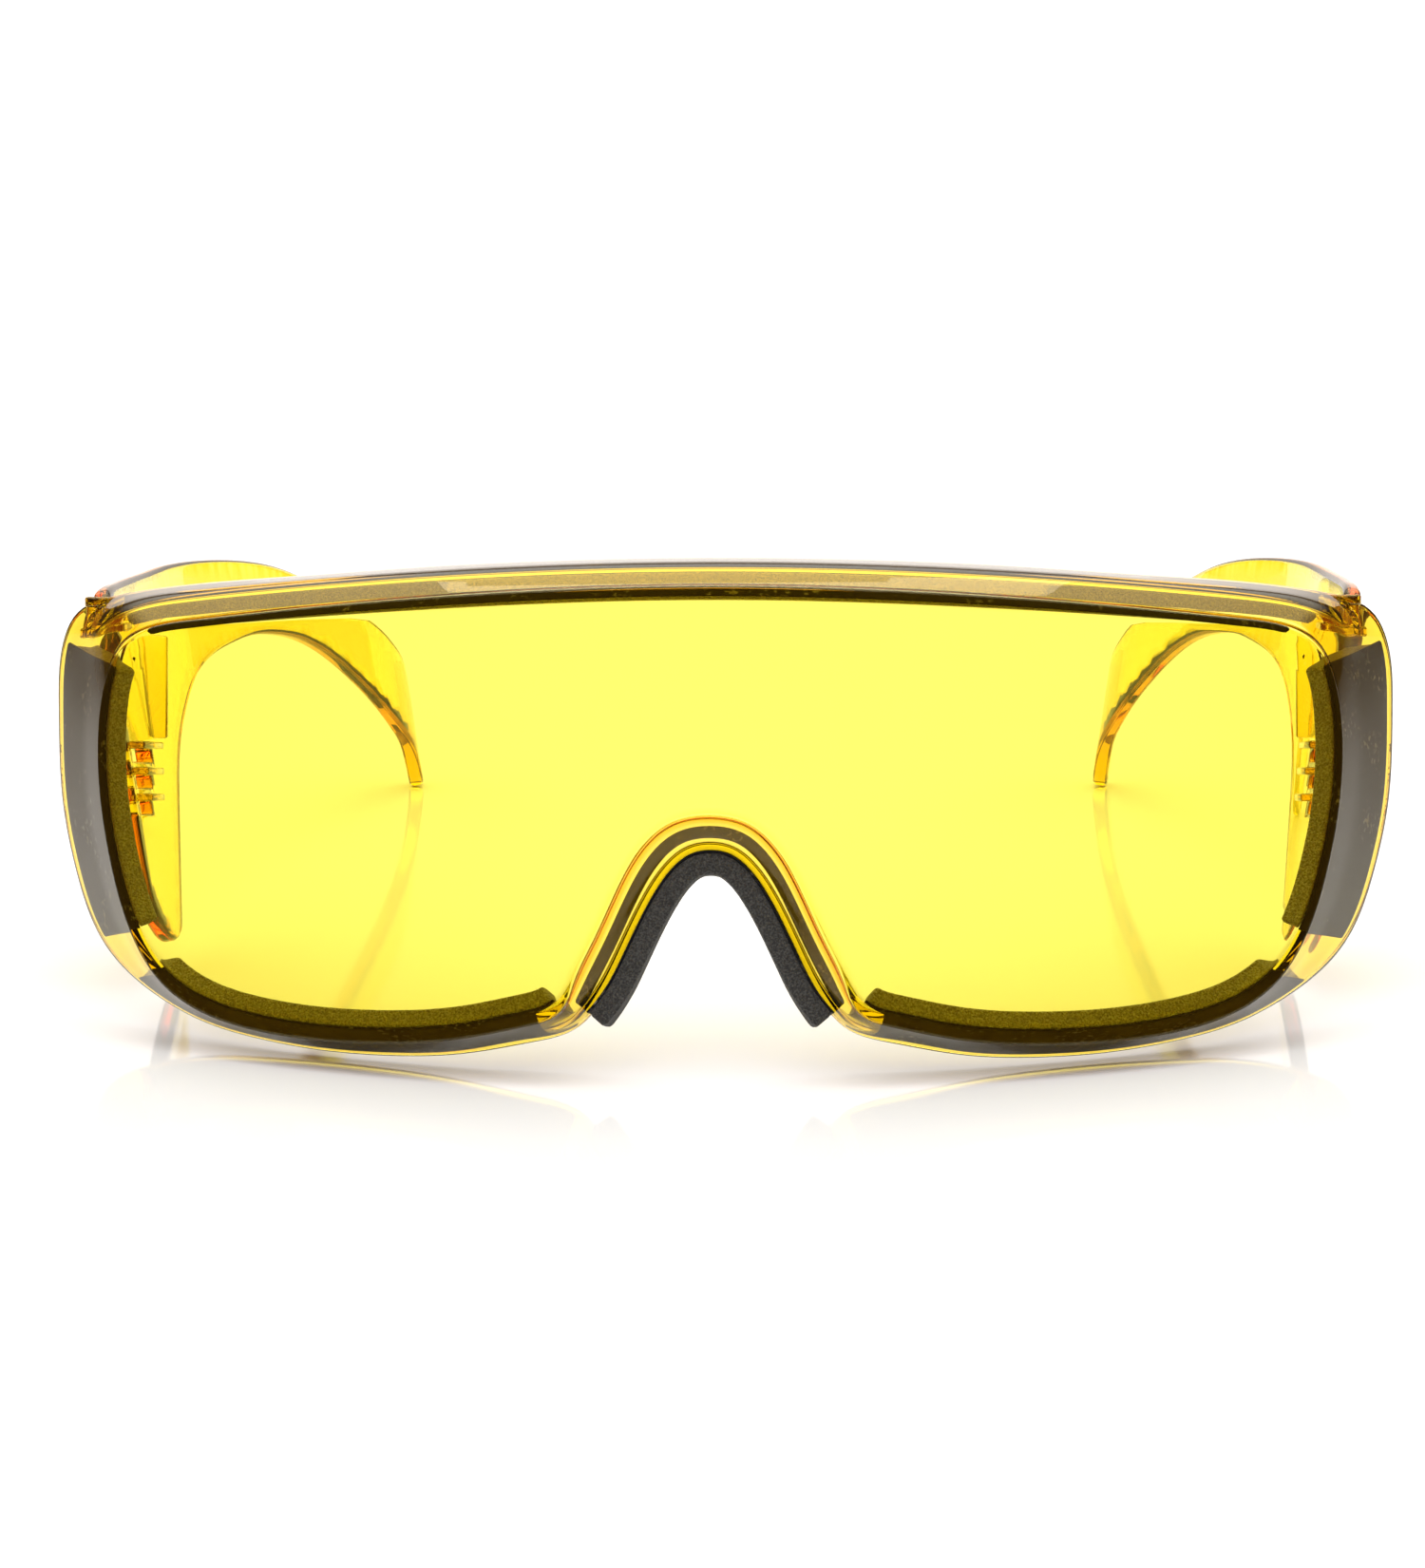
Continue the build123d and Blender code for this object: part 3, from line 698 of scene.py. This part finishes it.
def temple_panel():
    """Both faces of the panel as one triangulated (y, z) map with holes, and round each loop a
    strip whose section is two quarter circles of the edge's radius and the flat between. The
    outline runs anticlockwise and the holes clockwise, so that moved_in goes into the wall."""
    outline = evenly(TEMPLE_OUTLINE, OUTLINE_STEP)[::-1]
    holes = [slot_loop(*louvre)[::-1] for louvre in LOUVRES]
    half = TEMPLE_WALL / 2
    strips, rings = [], []
    turn = np.linspace(0, np.pi / 2, 7)
    for loop, radius in [(outline, EDGE_ROUND)] + [(hole, SLOT_ROUND) for hole in holes]:
        inset = radius * (1 - np.sin(np.concatenate([turn, turn[::-1]])))
        drop = radius * (1 - np.cos(turn))
        off = np.concatenate([half - drop, drop[::-1] - half])
        rows = np.array([moved_in(loop, amount) for amount in inset])
        strips.append((on_panel(rows, np.broadcast_to(off[:, None], rows.shape[:2])),
                       grid_faces(len(rows), len(loop), wrap_along=True)))
        rings.append(rows[0])
    y, z = np.meshgrid(np.arange(*PANEL_GRID_Y), np.arange(*PANEL_GRID_Z), indexing="ij")
    inner = np.stack([y.ravel(), z.ravel()], 1)
    edge_gap, slot_gap = 1.6, 1.0
    keep = within(inner, moved_in(outline, edge_gap))
    for hole in holes:
        keep &= ~within(inner, moved_in(hole, -slot_gap))
    flat = np.vstack(rings + [inner[keep]])
    edges, start = [], 0
    for ring in rings:
        edges += [(start + i, start + (i + 1) % len(ring)) for i in range(len(ring))]
        start += len(ring)
    made = delaunay_2d_cdt([tuple(point) for point in flat.tolist()], edges, [], 0, 1e-6)
    flat, triangles = np.array([tuple(v) for v in made[0]]), np.array(made[2])
    middle = flat[triangles].mean(1)
    good = within(middle, rings[0])
    for ring in rings[1:]:
        good &= ~within(middle, ring)
    triangles = triangles[good]
    caps = [(on_panel(flat, np.full(len(flat), off)), triangles) for off in (half, -half)]
    return caps, strips


def rounded_box(low, high, soften):
    """A box with rounded edges: unit-sphere points on a cube's grid, scaled by the radius and
    moved out by the half size less the radius."""
    t = np.tan(np.linspace(-np.pi / 4, np.pi / 4, 6))
    a, b = np.meshgrid(t, t, indexing="ij")
    low, high = np.array(low), np.array(high)
    parts = []
    for axis in range(3):
        for side in (1.0, -1.0):
            ball = unit(np.roll(np.stack([np.full_like(a, side), a, b], -1), axis, -1))
            shape = (low + high) / 2 + np.sign(ball) * ((high - low) / 2 - soften) + ball * soften
            parts.append((shape, grid_faces(6, 6)))
    return parts


def temple_parts():
    """The panel, the knuckle with its tongue, a blade over each slot, and the rib."""
    caps, parts = temple_panel()
    centre = np.array([HINGE_POINT[0], HINGE_POINT[1], 0])
    inner, outer = round_bar(PIN_RADIUS + RUNNING_FIT, KNUCKLE_RADIUS, KNUCKLE_RADIUS)
    outer = unit(outer) * KNUCKLE_RADIUS
    parts.append(washer(inner, outer, KNUCKLE_BOTTOM, KNUCKLE_TOP, KNUCKLE_SOFTEN, centre))
    parts += rounded_box((TONGUE_X[0], TONGUE_Y[0], KNUCKLE_BOTTOM),
                         (TONGUE_X[1], TONGUE_Y[1], KNUCKLE_TOP), KNUCKLE_SOFTEN)
    for foot, rear in LOUVRES:
        beside_slot = np.array([[LOUVRE_FRONT + 4, foot + 2]])
        inner_x = on_panel(beside_slot, np.array([-TEMPLE_WALL / 2]))[0, 0]
        slot_top = foot + LOUVRE_SLOT
        parts += rounded_box(
            (inner_x - BLADE_REACH, LOUVRE_FRONT - BLADE_LAP, slot_top + BLADE_GAP),
            (inner_x + BLADE_LAP, rear + BLADE_LAP, slot_top + BLADE_WALL), BLADE_SOFTEN)
    rib_ends = np.array([[RIB_Y, RIB_BOTTOM], [RIB_Y, RIB_TOP]])
    rib_x = on_panel(rib_ends, np.full(2, -TEMPLE_WALL / 2))[:, 0]
    parts += rounded_box((rib_x[0] - BLADE_REACH, RIB_Y, RIB_BOTTOM),
                         (rib_x[1] + RIB_LAP, RIB_Y + BLADE_WALL, RIB_TOP), RIB_SOFTEN)
    return caps, parts


caps, parts = temple_parts()
for side_name, side in SIDES:
    temple = piece(side_name + "_temple_arm_and_shield", turned(parts, side), yellow,
                   side_name + "_temple_arm", turned(caps, side))
    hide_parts(side_name + "_temple")


# ---------------------------------------------------------------------------------------------
# Hinge pins
# A plain pin of amber plastic with domed ends, pressed through both ears. The knuckle turns on
# it with a small clearance.
# ---------------------------------------------------------------------------------------------

PIN_BOTTOM, PIN_TOP, PIN_DOME = 49.1, 54.8, 0.45

amber, nodes, links, shader, _ = new_material("amber_pin")
tone = noise(nodes, links, 300, 2)
streaks = ramp(nodes, links, tone.outputs["Fac"], (0.62, 0.2, 0.006), (0.8, 0.33, 0.015))
links.new(streaks, shader.inputs["Base Color"])
shader.inputs["Roughness"].default_value = 0.22
shader.inputs["Transmission Weight"].default_value = 0.25


def hinge_pin():
    """A profile turned about the hinge axis: a quarter ellipse of the pin's radius and the
    dome's height at each end, with the straight side between them."""
    turn = np.linspace(0, np.pi / 2, 7)
    bottom = np.stack([PIN_RADIUS * np.sin(turn), PIN_BOTTOM + PIN_DOME * (1 - np.cos(turn))], 1)
    top = np.stack([PIN_RADIUS * np.cos(turn), PIN_TOP - PIN_DOME * (1 - np.sin(turn))], 1)
    reach, height = np.split(np.concatenate([bottom, top]), 2, axis=1)
    angle = np.linspace(0, 2 * np.pi, 48, endpoint=False)
    x = HINGE_POINT[0] + reach * np.cos(angle)
    y = HINGE_POINT[1] + reach * np.sin(angle)
    points = np.stack([x, y, np.broadcast_to(height, x.shape)], -1)
    return [(points, grid_faces(*x.shape, wrap_along=True))]


for side_name, side in SIDES:
    pin = piece(side_name + "_pin", turned(hinge_pin(), side), amber, "front")
    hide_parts(side_name + "_hinge_pin")


# ---------------------------------------------------------------------------------------------
# Studio
# A plain pale polished floor, a soft light overhead and a large one standing behind the glasses,
# in a surround that is bright above and dim and warm below.
# ---------------------------------------------------------------------------------------------

FLOOR_HALF_WIDTH, FLOOR_NEAR, FLOOR_FAR = 6, -3, 9     # metres
SURROUND_LOW, SURROUND_HIGH = (0.26, 0.14, 0.04, 1), (2.1, 2.1, 2.1, 1)
CAMERA_LENS, CAMERA_SENSOR = 105.6, 36
CAMERA_PLACE, CAMERA_YAW = (23.9, -532, 31.5), math.radians(2.52)

mesh = bpy.data.meshes.new("floor")
mesh.from_pydata([(-FLOOR_HALF_WIDTH, FLOOR_NEAR, 0), (FLOOR_HALF_WIDTH, FLOOR_NEAR, 0),
                  (FLOOR_HALF_WIDTH, FLOOR_FAR, 0), (-FLOOR_HALF_WIDTH, FLOOR_FAR, 0)],
                 [], [(0, 1, 2, 3)])
floor = bpy.data.objects.new("floor", mesh)
bpy.context.scene.collection.objects.link(floor)
pale, nodes, links, shader, _ = new_material("pale_floor")
cloud = noise(nodes, links, 6, 2)
links.new(ramp(nodes, links, cloud.outputs["Fac"], 0.74, 0.76), shader.inputs["Base Color"])
shader.inputs["Roughness"].default_value = 0.07
mesh.materials.append(pale)

world = bpy.data.worlds.new("surround")
bpy.context.scene.world = world
world.use_nodes = True
nodes, links = world.node_tree.nodes, world.node_tree.links
where = nodes.new("ShaderNodeTexCoord")
split = nodes.new("ShaderNodeSeparateXYZ")
links.new(where.outputs["Generated"], split.inputs["Vector"])
height = nodes.new("ShaderNodeMapRange")
height.interpolation_type = "SMOOTHSTEP"
for name, value in (("From Min", 0.4), ("From Max", 0.62), ("To Min", 0.0), ("To Max", 1.0)):
    height.inputs[name].default_value = value
links.new(split.outputs["Z"], height.inputs["Value"])
tone = nodes.new("ShaderNodeMix")
tone.data_type = "RGBA"
tone.inputs["A"].default_value = SURROUND_LOW
tone.inputs["B"].default_value = SURROUND_HIGH
links.new(height.outputs["Result"], tone.inputs["Factor"])
links.new(tone.outputs["Result"], nodes["Background"].inputs["Color"])


def softbox(name, location, aim, size, power):
    """An area light of a width and a height, turned to face a point."""
    light = bpy.data.lights.new(name, "AREA")
    light.shape, light.energy = "RECTANGLE", power
    light.size, light.size_y = size
    made = bpy.data.objects.new(name, light)
    made.location = location
    made.rotation_euler = (Vector(aim) - Vector(location)).to_track_quat("-Z", "Y").to_euler()
    bpy.context.scene.collection.objects.link(made)


softbox("overhead", (0.0, 0.15, 1.1), (0, 0.05, 0), (0.8, 0.8), 4.6)
softbox("behind", (0.0, 3.6, 0.8), (0, 0, 0.8), (4.4, 1.6), 21.7)

lens_camera = bpy.data.cameras.new("camera")
lens_camera.lens = CAMERA_LENS
lens_camera.sensor_fit = "VERTICAL"
lens_camera.sensor_height = CAMERA_SENSOR
camera = bpy.data.objects.new("camera", lens_camera)
toward = TO_FRAME @ np.array([-math.sin(CAMERA_YAW), math.cos(CAMERA_YAW), 0])
upward = TO_FRAME @ np.array([0, 0, 1.0])
across = np.cross(toward, upward)
facing = Matrix([list(across), list(upward), list(-toward)]).transposed()
camera.matrix_world = Matrix.Translation(place(CAMERA_PLACE)) @ facing.to_4x4()
bpy.context.scene.collection.objects.link(camera)
bpy.context.scene.camera = camera

scene = bpy.context.scene
scene.view_settings.view_transform = "Standard"
scene.cycles.max_bounces = 24
scene.cycles.transmission_bounces = 24
scene.cycles.use_denoising = True
